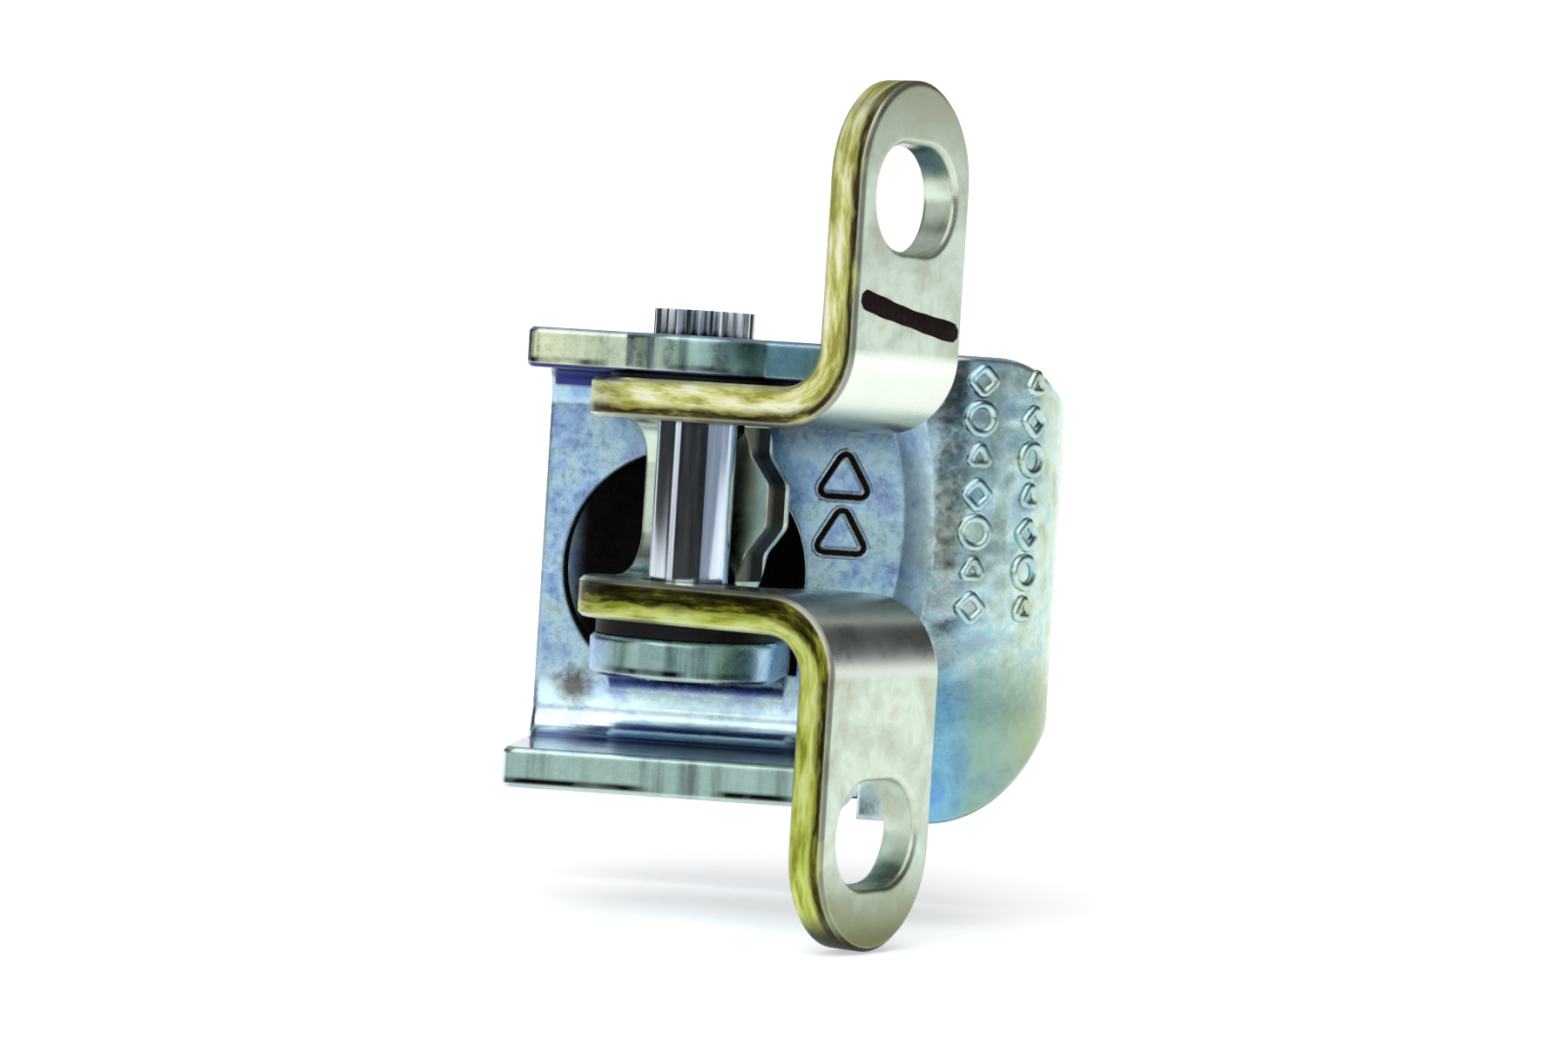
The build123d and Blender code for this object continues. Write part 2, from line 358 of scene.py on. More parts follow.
@dataclass(frozen=True)
class ChannelMasks:
    """Places, noises and masks that the layers of the blue zinc share, as nodes or as outputs of nodes.

    Attributes:
        add: add_node, bound to the material's tree.
        place: Place measured from the pin.
        x: Its part along the web.
        y: Its part to the back.
        z: Its part upwards.
        facing_z: How far the face looks up.
        clouds: Noise of the film.
        specks: Fine noise.
        patches: Broad noise.
        nose: One on the nose.
        above_foot: One above the nose's foot.
        front_half: One on the front half of the roll.
        off_nose: One on the front half, but not on the nose.
        pressed: One on the nose where the marks were pressed.
        forward: One on faces that look to the front.
        cut: One on the sheared front edges.
        off_middle: Distance from the channel's middle height.
        rounded: Normal that rounds the edges.
    """

    add: Adder
    place: Source
    x: Source
    y: Source
    z: Source
    facing_z: Source
    clouds: Source
    specks: Source
    patches: Source
    nose: Source
    above_foot: Source
    front_half: Source
    off_nose: Source
    pressed: Source
    forward: Source
    cut: Source
    off_middle: Source
    rounded: Source


@dataclass(frozen=True)
class BluePassivatedZinc(Finish):
    """Zinc electroplate with a thin blue passivate on rolled sheet steel.

    The film clouds the bright metal with blue, lilac and teal and turns olive in broad patches, and the
    olive that rises towards the nose's right is painted reflection. A pale painted highlight lies along the
    lower fold and on faces that look down. The nose is burnished, with faint rainbow patches between its
    marks and thick blue to straw film at its foot. Sheared front edges run from straw on the left to dark
    teal on the right, which is painted shade, with upright shear streaks and a thin torn line near the foot
    of each. Painted shade makes the inner faces of the flanges and tight corners violet and the gooseneck
    near black within. Broken edges are worn bright by rubbing and carry a painted highlight, and a drip
    dried on the web.

    Lengths are in millimetres, and places are measured from the pin: x along the web, y back, z up. Values
    without a unit are shares, or how far a face looks along an axis. A pair of places or of facings runs
    from none of an effect to all of it.
    """

    name: str = "blue_passivated_zinc_plate"

    # Clouded film, olive in patches, and painted olive reflection towards the nose's right
    film: Stops = ((0.30, "#7C8CC8"), (0.44, "#8DB0D6"), (0.55, "#A6C8DF"), (0.70, "#A2C2C2"))
    cloud_mm: float = 3.4
    speck_mm: float = 0.9
    speck_share: float = 0.3
    olive_film_and_reflection: str = "#9DB79F"
    olive_reflection_mm: Pair = (23.0, 36.0)
    olive_reflection_share: float = 0.9
    patch_mm: float = 10.0
    patch_gain: float = 1.2
    patch_offset: float = -0.5

    # Painted highlight along the lower fold and under faces, and the nose
    pale_fold_highlight: str = "#D6E9E8"
    fold_highlight_mm: Pair = (-17.0, -26.0)
    underside_highlight_facing: Pair = (-0.5, -0.8)
    fold_highlight_gain: float = 1.7
    burnished: str = "#DCEAE8"
    nose_mm: Pair = (21.0, 24.0)
    above_foot_mm: Pair = (-20.0, -12.0)
    front_half_mm: Pair = (34.0, 27.0)
    foot: Stops = ((0.1, "#B0DEFF"), (0.3, "#BCE6FF"), (0.5, "#CCDED0"), (0.85, "#EFEAD6"))
    foot_mm: Pair = (21.6, 36.0)
    rainbow: Stops = (
        (0.32, "#E2DACA"),
        (0.43, "#EDF4E0"),
        (0.52, "#FFFFFF"),
        (0.6, "#D4F2F8"),
        (0.7, "#EAE4F8"),
    )

    # Sheared front edges, darker to the right by painted shade, and their torn lines
    sheared: Stops = ((0.0, "#DCE0B4"), (0.3, "#C3D0B2"), (0.5, "#9AB6AF"), (0.68, "#3F676A"))
    sheared_shade_mm: Pair = (-17.0, 18.0)
    sheared_low: str = "#8FABA4"
    shear: Stops = ((0.34, "#5A6664"), (0.46, "#E4EAE4"), (0.6, "#FFFFFF"))
    shear_mm: tuple[float, float, float] = (3.2, 8.0, 60.0)
    front_facing: Pair = (-0.6, -0.8)
    flange_front_mm: float = -4.0
    cut_share: float = 0.85
    torn: str = "#0B0B09"
    torn_heights_mm: tuple[float, ...] = (13.2, -16.9, -28.6)
    torn_line_mm: Pair = (0.5, 0.15)
    torn_breaks: Pair = (0.42, 0.56)

    # Painted shade on the inner faces of the flanges, violet
    flange_inside_shade: str = "#363B74"
    channel_mm: Pair = (-25.7, 12.9)
    fold_reach_mm: float = 2.0
    web_front_mm: float = 14.5
    under_weight: float = -1.6
    flat_facing: Pair = (0.78, 0.94)

    # Edges worn by rubbing with a painted highlight, and the dried drip
    rubbed_edge_highlight: str = "#E6EADF"
    edge_highlight_share: float = 0.7
    edge_mm: float = 0.5
    dried: str = "#4B3F2A"
    drip_place_mm: tuple[float, float, float] = (-12.6, 14.3, -20.1)
    drip_mm: Pair = (2.6, 0.78)
    drip_share: float = 0.85

    # Painted shade in tight corners and within the gooseneck
    corner: Stops = ((0.0, "#22222E"), (0.14, "#8C90C0"), (0.26, "#FFFFFF"))
    corner_shade_reach_mm: float = 3.0
    gooseneck_shade: str = "#12110F"
    inside_axis_mm: Pair = (21.6, 27.1)
    inside_r_mm: Pair = (11.1, 10.7)
    inside_left_mm: Pair = (-20.0, -15.0)
    inside_top_mm: Pair = (19.0, 7.0)

    # Gloss and relief
    gloss: Pair = (0.2, 0.36)
    fold_gloss_mm: Pair = (5.0, 3.0)
    press_gloss: float = 0.5
    worked_gloss: float = 0.45
    dish_mm: Pair = (-19.0, -23.4)
    dish_depth_mm: float = 0.3
    tight_mm: Pair = (-21.8, -24.5)
    tight_depth_mm: float = 0.5
    press_mm: float = 4.5
    press_depth_mm: float = 0.2
    press_beyond: float = 0.2
    grain_mm: float = 0.35
    grain_strength: float = 0.2

    def surface(self, add: Adder) -> tuple[dict, dict]:
        """Adds the layers of the finish.

        Args:
            add: add_node, bound to the material's tree.

        Returns:
            The shader's settings and its links.
        """
        on = self.add_masks(add)
        colour = self.add_film(on)
        colour = self.add_fold_and_nose(on, colour)
        colour = self.add_cut_edges(on, colour)
        colour = self.add_torn_lines(on, colour)
        colour = self.add_flange_inside_shade(on, colour)
        colour = self.add_wear(on, colour)
        colour = self.add_recesses(on, colour)
        links = {"Base Color": colour, "Roughness": self.add_gloss(on), "Normal": self.add_relief(on)}
        return {"Metallic": 1.0}, links

    def add_masks(self, add: Adder) -> ChannelMasks:
        """Adds the places, noises and masks that the layers share.

        Args:
            add: add_node, bound to the material's tree.

        Returns:
            The shared nodes.
        """
        source = add("TexCoord").outputs
        pin_frame = {"vector_type": "TEXTURE", "Location": tuple(PIN)}
        place = add("Mapping", pin_frame, {"Vector": source["Object"]})
        x, y, z = add("SeparateXYZ", links={0: place}).outputs
        facing = add("SeparateXYZ", links={0: source["Normal"]}).outputs
        cloud_look = {"Scale": 1 / (self.cloud_mm * MM), "Detail": 5.0, "Roughness": 0.62, "Distortion": 0.3}
        speck_look = {"Scale": 1 / (self.speck_mm * MM), "Detail": 3.0, "Roughness": 0.7}
        patch_look = {"Scale": 1 / (self.patch_mm * MM), "Detail": 3.0, "Distortion": 0.5}
        nose = add("MapRange", span(self.nose_mm), {"Value": x})
        above_foot = add("MapRange", {**SMOOTH, **span(self.above_foot_mm)}, {"Value": z})
        front_half = add("MapRange", span(self.front_half_mm), {"Value": y})
        nose_above_foot = add("Math", TIMES, {0: nose, 1: above_foot})
        forward = add("MapRange", span(self.front_facing, 1.0), {"Value": facing["Y"]})
        in_front = add("Math", {"operation": "LESS_THAN", 1: self.flange_front_mm * MM}, {0: y})
        from_middle = add("Math", {**PLUS, 1: -0.5 * sum(self.channel_mm) * MM}, {0: z})
        return ChannelMasks(
            add=add,
            place=place,
            x=x,
            y=y,
            z=z,
            facing_z=facing["Z"],
            clouds=add("TexNoise", cloud_look, {"Vector": place}),
            specks=add("TexNoise", speck_look, {"Vector": place}),
            patches=add("TexNoise", patch_look, {"Vector": place}),
            nose=nose,
            above_foot=above_foot,
            front_half=front_half,
            off_nose=add("Math", CLAMPED_MINUS, {0: front_half, 1: nose}),
            pressed=add("Math", TIMES, {0: nose_above_foot, 1: front_half}),
            forward=forward,
            cut=add("Math", TIMES, {0: forward, 1: in_front}),
            off_middle=add("Math", SIZE, {0: from_middle}),
            rounded=add("Bevel", {"samples": EDGE_SAMPLES, "Radius": self.edge_mm * MM}),
        )

    def add_film(self, on: ChannelMasks) -> Source:
        """Adds the clouded blue film, olive in patches, and painted olive reflection towards the nose.

        Args:
            on: The shared nodes.

        Returns:
            The colour.
        """
        add = on.add
        film = add("ValToRGB", {"stops": self.film}, {"Fac": on.clouds})
        overlay = {**BLEND, "blend_type": "OVERLAY", "Factor": self.speck_share}
        speckled = add("Mix", overlay, {6: film, 7: on.specks})
        # Painted reflection: the olive share rises along the web towards the nose's right.
        run = add("MapRange", {**span(self.olive_reflection_mm), "To Max": self.olive_reflection_share}, {"Value": on.x})
        gain = {**SCALE_AND_ADD, "use_clamp": True, 1: self.patch_gain, 2: self.patch_offset}
        patchy = add("Math", gain, {0: on.patches})
        share = add("Math", {**PLUS, "use_clamp": True}, {0: run, 1: patchy})
        return add("Mix", {**BLEND, 7: to_linear(self.olive_film_and_reflection)}, {"Factor": share, 6: speckled})

    def add_fold_and_nose(self, on: ChannelMasks, colour: Source) -> Source:
        """Adds a painted highlight at the lower fold and under faces, and the burnished nose, rainbow
        patches and foot.

        Args:
            on: The shared nodes.
            colour: Colour so far.

        Returns:
            The new colour.
        """
        add = on.add
        # Painted highlight: pale colour along the lower fold and on faces that look down, in the clouds.
        gain = {"To Max": self.fold_highlight_gain}
        low = add("MapRange", {**span(self.fold_highlight_mm), **gain}, {"Value": on.z})
        under = add("MapRange", {**span(self.underside_highlight_facing, 1.0), **gain}, {"Value": on.facing_z})
        highlight_zone = add("Math", LARGER, {0: low, 1: under})
        cloudy = add("Math", TIMES, {0: highlight_zone, 1: on.clouds})
        thin = add("Math", {**TIMES, "use_clamp": True}, {0: cloudy, 1: on.off_nose})
        pale_fold_highlight = add("Mix", {**BLEND, 7: to_linear(self.pale_fold_highlight)}, {"Factor": thin, 6: colour})
        rub = add("Math", TIMES, {0: on.pressed, 1: on.patches})
        burnished = add("Mix", {**BLEND, 7: to_linear(self.burnished)}, {"Factor": rub, 6: pale_fold_highlight})
        round_nose = add("MapRange", span(self.foot_mm), {"Value": on.x})
        foot = add("ValToRGB", {"stops": self.foot}, {"Fac": round_nose})
        rainbow = add("ValToRGB", {"stops": self.rainbow}, {"Fac": on.clouds})
        nose_film = add("Mix", BLEND, {"Factor": on.above_foot, 6: foot, 7: rainbow})
        front_nose = add("Math", TIMES, {0: on.nose, 1: on.front_half})
        return add("Mix", TINT, {"Factor": front_nose, 6: burnished, 7: nose_film})

    def add_cut_edges(self, on: ChannelMasks, colour: Source) -> Source:
        """Adds the sheared front edges of the flanges and ears, with painted shade to the right and upright
        streaks.

        Args:
            on: The shared nodes.
            colour: Colour so far.

        Returns:
            The new colour.
        """
        add = on.add
        # Painted shade: the edge colour runs from straw on the left to dark teal on the right.
        across = add("MapRange", span(self.sheared_shade_mm), {"Value": on.x})
        sheared = add("ValToRGB", {"stops": self.sheared}, {"Fac": across})
        upper = add("Math", {"operation": "GREATER_THAN", 1: 0.0}, {0: on.z})
        film = add("Mix", {**BLEND, 6: to_linear(self.sheared_low)}, {"Factor": upper, 7: sheared})
        stretch = {"operation": "DIVIDE", 1: tuple(Vector(self.shear_mm) * MM)}
        drawn_up = add("VectorMath", stretch, {0: on.place})
        marks = add("TexNoise", {"Scale": 1.0, "Detail": 4.0, "Roughness": 0.6}, {"Vector": drawn_up})
        shear = add("ValToRGB", {"stops": self.shear}, {"Fac": marks})
        streaked = add("Mix", FULL_TINT, {6: film, 7: shear})
        share = add("Math", {**TIMES, 1: self.cut_share}, {0: on.cut})
        return add("Mix", BLEND, {"Factor": share, 6: colour, 7: streaked})

    def add_torn_lines(self, on: ChannelMasks, colour: Source) -> Source:
        """Adds a thin torn line near the foot of each sheared edge, broken along its length.

        Args:
            on: The shared nodes.
            colour: Colour so far.

        Returns:
            The new colour.
        """
        add = on.add
        distances = []
        for height in self.torn_heights_mm:
            above = add("Math", {"operation": "SUBTRACT", 1: height * MM}, {0: on.z})
            distances.append(add("Math", SIZE, {0: above}))
        nearest = distances[0]
        for distance in distances[1:]:
            nearest = add("Math", SMALLER, {0: nearest, 1: distance})
        line = add("MapRange", span(self.torn_line_mm), {"Value": nearest})
        breaks = add("MapRange", span(self.torn_breaks, 1.0), {"Value": on.patches})
        broken_line = add("Math", TIMES, {0: line, 1: breaks})
        share = add("Math", TIMES, {0: broken_line, 1: on.cut})
        return add("Mix", {**BLEND, 7: to_linear(self.torn)}, {"Factor": share, 6: colour})

    def add_flange_inside_shade(self, on: ChannelMasks, colour: Source) -> Source:
        """Adds painted shade, dark violet, on the inner faces of the flanges, fading into the folds.

        Args:
            on: The shared nodes.
            colour: Colour so far.

        Returns:
            The new colour.
        """
        add = on.add
        # Painted shade: dark violet on the flanges' inner faces.
        low, high = self.channel_mm
        from_floor = 0.5 * (high - low) - self.fold_reach_mm
        near_floor = {"operation": "COMPARE", 1: from_floor * MM, 2: self.fold_reach_mm * MM}
        in_fold = add("Math", near_floor, {0: on.off_middle})
        before_web = add("Math", {"operation": "LESS_THAN", 1: self.web_front_mm * MM}, {0: on.y})
        downward = add("Math", {**TIMES, 1: self.under_weight}, {0: on.facing_z})
        level = add("Math", LARGER, {0: on.facing_z, 1: downward})
        flat = add("MapRange", span(self.flat_facing, 1.0), {"Value": level})
        in_channel = add("Math", TIMES, {0: in_fold, 1: before_web})
        share = add("Math", TIMES, {0: in_channel, 1: flat})
        return add("Mix", {**BLEND, 7: to_linear(self.flange_inside_shade)}, {"Factor": share, 6: colour})

    def add_wear(self, on: ChannelMasks, colour: Source) -> Source:
        """Adds the edges worn bright by rubbing, which carry a painted highlight, and the dried drip.

        Args:
            on: The shared nodes.
            colour: Colour so far.

        Returns:
            The new colour.
        """
        add = on.add
        # Painted highlight on top of wear: a pale line along the broken edges.
        edge = add_edge_mask(add, on.rounded, self.edge_highlight_share)
        edged = add("Mix", {**BLEND, 7: to_linear(self.rubbed_edge_highlight)}, {"Factor": edge, 6: colour})
        drip_place = tuple(Vector(self.drip_place_mm) * MM)
        offset = add("VectorMath", {"operation": "DISTANCE", 1: drip_place}, {0: on.place})
        rim = self.drip_mm[0] * MM
        ragged = add("Math", {**SCALE_AND_ADD, 1: rim, 2: -0.5 * rim}, {0: on.specks})
        reach = add("Math", PLUS, {0: offset, 1: ragged})
        drip = add("MapRange", {**span(self.drip_mm), "To Max": self.drip_share}, {"Value": reach})
        return add("Mix", {**BLEND, 7: to_linear(self.dried)}, {"Factor": drip, 6: edged})

    def add_recesses(self, on: ChannelMasks, colour: Source) -> Source:
        """Adds painted shade: violet in tight corners, and near black within the gooseneck, fading at its
        open sides.

        Args:
            on: The shared nodes.
            colour: Colour so far.

        Returns:
            The new colour.
        """
        add = on.add
        corner_shaded = add_corner_shade(add, colour, self.corner, self.corner_shade_reach_mm)
        # Painted shade: near black within the gooseneck, where little light gets in.
        axis_x, axis_y = self.inside_axis_mm
        past_axis = add("Math", {**CLAMPED_MINUS, 1: axis_x * MM}, {0: on.x})
        behind_axis = add("Math", {"operation": "SUBTRACT", 1: axis_y * MM}, {0: on.y})
        from_axis = add("CombineXYZ", links={0: past_axis, 1: behind_axis})
        radius = add("VectorMath", LENGTH, {0: from_axis})
        gooseneck_shaded = add("MapRange", span(self.inside_r_mm), {"Value": radius})
        for part, limits in ((on.x, self.inside_left_mm), (on.z, self.inside_top_mm)):
            within = add("MapRange", {**SMOOTH, **span(limits)}, {"Value": part})
            gooseneck_shaded = add("Math", TIMES, {0: gooseneck_shaded, 1: within})
        return add("Mix", {**BLEND, 7: to_linear(self.gooseneck_shade)}, {"Factor": gooseneck_shaded, 6: corner_shaded})

    def add_gloss(self, on: ChannelMasks) -> Source:
        """Adds the roughness, uneven with the specks and smoother where fold and press worked the sheet.

        Args:
            on: The shared nodes.

        Returns:
            The roughness.
        """
        add = on.add
        gloss = add("MapRange", from_noise(self.gloss), {"Value": on.specks})
        low, high = self.channel_mm
        half = 0.5 * (high - low)
        far, near = self.fold_gloss_mm
        near_fold = add("MapRange", span((half - far, half - near)), {"Value": on.off_middle})
        by_press = add("Math", {**TIMES, 1: self.press_gloss}, {0: on.pressed})
        worked = add("Math", LARGER, {0: by_press, 1: near_fold})
        off_cut = add("Math", {"operation": "SUBTRACT", 0: 1.0}, {1: on.cut})
        rolled = add("Math", TIMES, {0: worked, 1: off_cut})
        smoothing = add("Math", {**SCALE_AND_ADD, 1: -self.worked_gloss, 2: 1.0}, {0: rolled})
        return add("Math", TIMES, {0: gloss, 1: smoothing})

    def add_relief(self, on: ChannelMasks) -> Source:
        """Adds the web's dish and tight fold, the uneven press of the nose, and the sheet's grain.

        Args:
            on: The shared nodes.

        Returns:
            The normal.
        """
        add = on.add
        dish_range = {**SMOOTH, **span(self.dish_mm), "To Max": self.dish_depth_mm * MM}
        tight_range = {**SMOOTH, **span(self.tight_mm), "To Max": self.tight_depth_mm * MM}
        dish = add("MapRange", dish_range, {"Value": on.z})
        tight = add("MapRange", tight_range, {"Value": on.z})
        hollow = add("Math", {"operation": "SUBTRACT"}, {0: dish, 1: tight})
        web = add("Math", TIMES, {0: on.forward, 1: on.off_nose})
        dished = add("Bump", {"Distance": 1.0}, {"Strength": web, "Height": hollow, "Normal": on.rounded})
        press_look = {"Scale": 1 / (self.press_mm * MM), "Detail": 1.0, "Distortion": 0.3}
        presses = add("TexNoise", press_look, {"Vector": on.place})
        more = {**SCALE_AND_ADD, 1: 1 - self.press_beyond, 2: self.press_beyond}
        amount = add("Math", more, {0: on.pressed})
        press_links = {"Strength": amount, "Height": presses, "Normal": dished}
        uneven = add("Bump", {"Distance": self.press_depth_mm * MM}, press_links)
        grain = add("TexNoise", {"Scale": 1 / (self.grain_mm * MM), "Detail": 2.0}, {"Vector": on.place})
        fine = {"Strength": self.grain_strength, "Distance": GRAIN_DEPTH}
        return add("Bump", fine, {"Height": grain, "Normal": uneven})


@dataclass(frozen=True)
class StripMasks:
    """Places, noise and masks that the layers of the yellow zinc share, as nodes or as outputs of nodes.

    Attributes:
        add: add_node, bound to the material's tree.
        place: Place measured from the pin in the bracket's own frame.
        x: Its part along the ears.
        y: Its part to the back.
        z: Its part upwards.
        facing_x: How far the face looks along the ears.
        side: How far the face looks to the front or the back.
        upright: How far the face looks up or down.
        height: Distance from the middle height.
        low: One below the middle height.
        in_gap: One between the ears.
        past_axis: Distance past the fold's axis towards the tabs.
        inside_axis: Distance from the fold's axis towards the middle height.
        clouds: Noise of the film.
        rounded: Normal that rounds the edges.
    """

    add: Adder
    place: Source
    x: Source
    y: Source
    z: Source
    facing_x: Source
    side: Source
    upright: Source
    height: Source
    low: Source
    in_gap: Source
    past_axis: Source
    inside_axis: Source
    clouds: Source
    rounded: Source


@dataclass(frozen=True)
class YellowChromatedZinc(Finish):
    """Zinc electroplate with a yellow chromate on sheet steel that was sheared before plating.

    The rolled faces are satin grey-green with a pinkish bloom. A painted highlight makes the bends paler,
    and painted shade makes the tab ends dull olive. The sheared edges took more chromate, so they are bright
    yellow in the burnished half of the cut and dark brown in the torn half, and greener on the lower tab.
    Painted shade makes the ears' faces in the gap dark brown. The torn right edge of the yoke is dark brown,
    partly painted shade, with a bright line on its rear edge. Painted shade darkens the corners, and broken
    edges are worn bright by rubbing and carry a painted highlight.

    Lengths are in millimetres, and places are measured from the pin: x along the ears, y back, z up, with
    heights counted both ways from the middle. Values without a unit are shares, or how far a face looks
    along an axis. A pair of places or of facings runs from none of an effect to all of it.
    """

    name: str = "yellow_chromated_zinc_plate"

    # Rolled faces, with painted shade at the tab ends and a painted highlight in the bends
    film: Stops = ((0.30, "#AFB3A0"), (0.45, "#BFCDBB"), (0.58, "#D2E2D1"), (0.72, "#C9CBB6"))
    cloud_mm: float = 6.0
    tip_shaded: str = "#A0A88F"
    low_tip_shaded: str = "#70754F"
    tip_shade_mm: Pair = (33.0, 41.0)
    bend_highlight: str = "#F0F7EC"
    bend_mm: Pair = (0.0, 1.0)
    bend_highlight_share: float = 0.8
    fold_mm: float = 16.0

    # Sheared edges
    burnished: Stops = ((0.36, "#A09E4C"), (0.5, "#DADC90"), (0.62, "#F6F6DA"))
    torn: Stops = ((0.4, "#1B1810"), (0.55, "#4C4624"), (0.68, "#A8A352"))
    torn_mm: Pair = (6.5, 7.0)
    torn_wave_mm: float = 2.6
    low_ear_mm: Pair = (16.0, 11.2)
    low_ear_torn_mm: float = 1.1
    low_cut: str = "#D4DEA4"
    streak_mm: tuple[float, float, float] = (5.0, 1.1, 40.0)
    tip_mm: float = 32.5
    tip_r_mm: float = 8.8
    yoke_front_mm: float = 1.2
    yoke_top_mm: float = 12.5
    cut_facing: Pair = (0.55, 0.8)

    # Painted shade between the ears, and the yoke's torn edge
    brown: str = "#2E261C"
    gap_shade_share: float = 0.85
    gap_face_mm: Pair = (10.5, 8.0)
    flat_facing: Pair = (0.4, 0.9)
    past_pin_mm: Pair = (2.0, 8.0)
    gap_half_mm: float = 7.8
    yoke_torn_and_shade: Stops = ((0.0, "#6E6A58"), (0.3, "#17130D"), (0.76, "#2A2015"), (0.8, "#FFFBEA"))
    yoke_mm: Pair = (5.4, 9.4)
    right_facing: Pair = (0.3, 0.5)

    # Edges worn by rubbing with a painted highlight, painted shade in corners, gloss and grain
    rubbed_edge_highlight: str = "#F3F1CF"
    edge_highlight_share: float = 0.75
    edge_mm: float = 0.5
    corner: Stops = ((0.1, "#0A0906"), (0.3, "#6B6250"), (0.5, "#FFFFFF"))
    corner_shade_reach_mm: float = 7.0
    gloss: Pair = (0.24, 0.34)
    cut_dullness: float = 0.2
    grain_mm: float = 0.3
    grain_strength: float = 0.3

    def surface(self, add: Adder) -> tuple[dict, dict]:
        """Adds the layers of the finish.

        Args:
            add: add_node, bound to the material's tree.

        Returns:
            The shader's settings and its links.
        """
        on = self.add_masks(add)
        cut = self.add_cut_mask(on)
        plated = add("Mix", BLEND, {"Factor": cut, 6: self.add_face_film(on), 7: self.add_cut_film(on)})
        gap_shaded = self.add_gap_shade(on, plated)
        colour = self.add_wear(on, gap_shaded)
        gloss = add("MapRange", from_noise(self.gloss), {"Value": on.clouds})
        rough = add("Math", {**SCALE_AND_ADD, 1: self.cut_dullness}, {0: cut, 2: gloss})
        grain = add("TexNoise", {"Scale": 1 / (self.grain_mm * MM), "Detail": 2.0}, {"Vector": on.place})
        fine = {"Strength": self.grain_strength, "Distance": GRAIN_DEPTH}
        bump = add("Bump", fine, {"Height": grain, "Normal": on.rounded})
        return {"Metallic": 1.0}, {"Base Color": colour, "Roughness": rough, "Normal": bump}

    def add_masks(self, add: Adder) -> StripMasks:
        """Adds the places, noise and masks that the layers share.

        Args:
            add: add_node, bound to the material's tree.

        Returns:
            The shared nodes.
        """
        source = add("TexCoord").outputs
        turned = {"vector_type": "TEXTURE", "Rotation": (0.0, 0.0, REST_TURN)}
        place = add("Mapping", {**turned, "Location": tuple(PIN)}, {"Vector": source["Object"]})
        facing = add("Mapping", turned, {"Vector": source["Normal"]})
        x, y, z = add("SeparateXYZ", links={0: place}).outputs
        facing_x, facing_y, facing_z = add("SeparateXYZ", links={0: facing}).outputs
        height = add("Math", SIZE, {0: z})
        cloud_look = {"Scale": 1 / (self.cloud_mm * MM), "Detail": 4.0, "Roughness": 0.6, "Distortion": 0.4}
        return StripMasks(
            add=add,
            place=place,
            x=x,
            y=y,
            z=z,
            facing_x=facing_x,
            side=add("Math", SIZE, {0: facing_y}),
            upright=add("Math", SIZE, {0: facing_z}),
            height=height,
            low=add("Math", {"operation": "LESS_THAN", 1: 0.0}, {0: z}),
            in_gap=add("Math", {"operation": "LESS_THAN", 1: self.gap_half_mm * MM}, {0: height}),
            past_axis=add("Math", {**CLAMPED_MINUS, 1: self.fold_mm * MM}, {0: x}),
            inside_axis=add("Math", {**CLAMPED_MINUS, 0: self.fold_mm * MM}, {1: height}),
            clouds=add("TexNoise", cloud_look, {"Vector": place}),
            rounded=add("Bevel", {"samples": EDGE_SAMPLES, "Radius": self.edge_mm * MM}),
        )

    def add_face_film(self, on: StripMasks) -> Source:
        """Adds the satin film of the rolled faces, with painted shade at the tab ends and a painted
        highlight in the bends.

        Args:
            on: The shared nodes.

        Returns:
            The colour.
        """
        add = on.add
        film = add("ValToRGB", {"stops": self.film}, {"Fac": on.clouds})
        # Painted shade: dull olive towards the tab ends, darker on the lower tab.
        tip_shade = add("MapRange", span(self.tip_shade_mm), {"Value": on.height})
        tip_shades = {**BLEND, 6: to_linear(self.tip_shaded), 7: to_linear(self.low_tip_shaded)}
        tip_shade_film = add("Mix", tip_shades, {"Factor": on.low})
        tip_shaded = add("Mix", BLEND, {"Factor": tip_shade, 6: film, 7: tip_shade_film})
        # Painted highlight: pale colour in the bends.
        in_bend = add("Math", SMALLER, {0: on.past_axis, 1: on.inside_axis})
        bend = add("MapRange", {**span(self.bend_mm), "To Max": self.bend_highlight_share}, {"Value": in_bend})
        return add("Mix", {**BLEND, 7: to_linear(self.bend_highlight)}, {"Factor": bend, 6: tip_shaded})

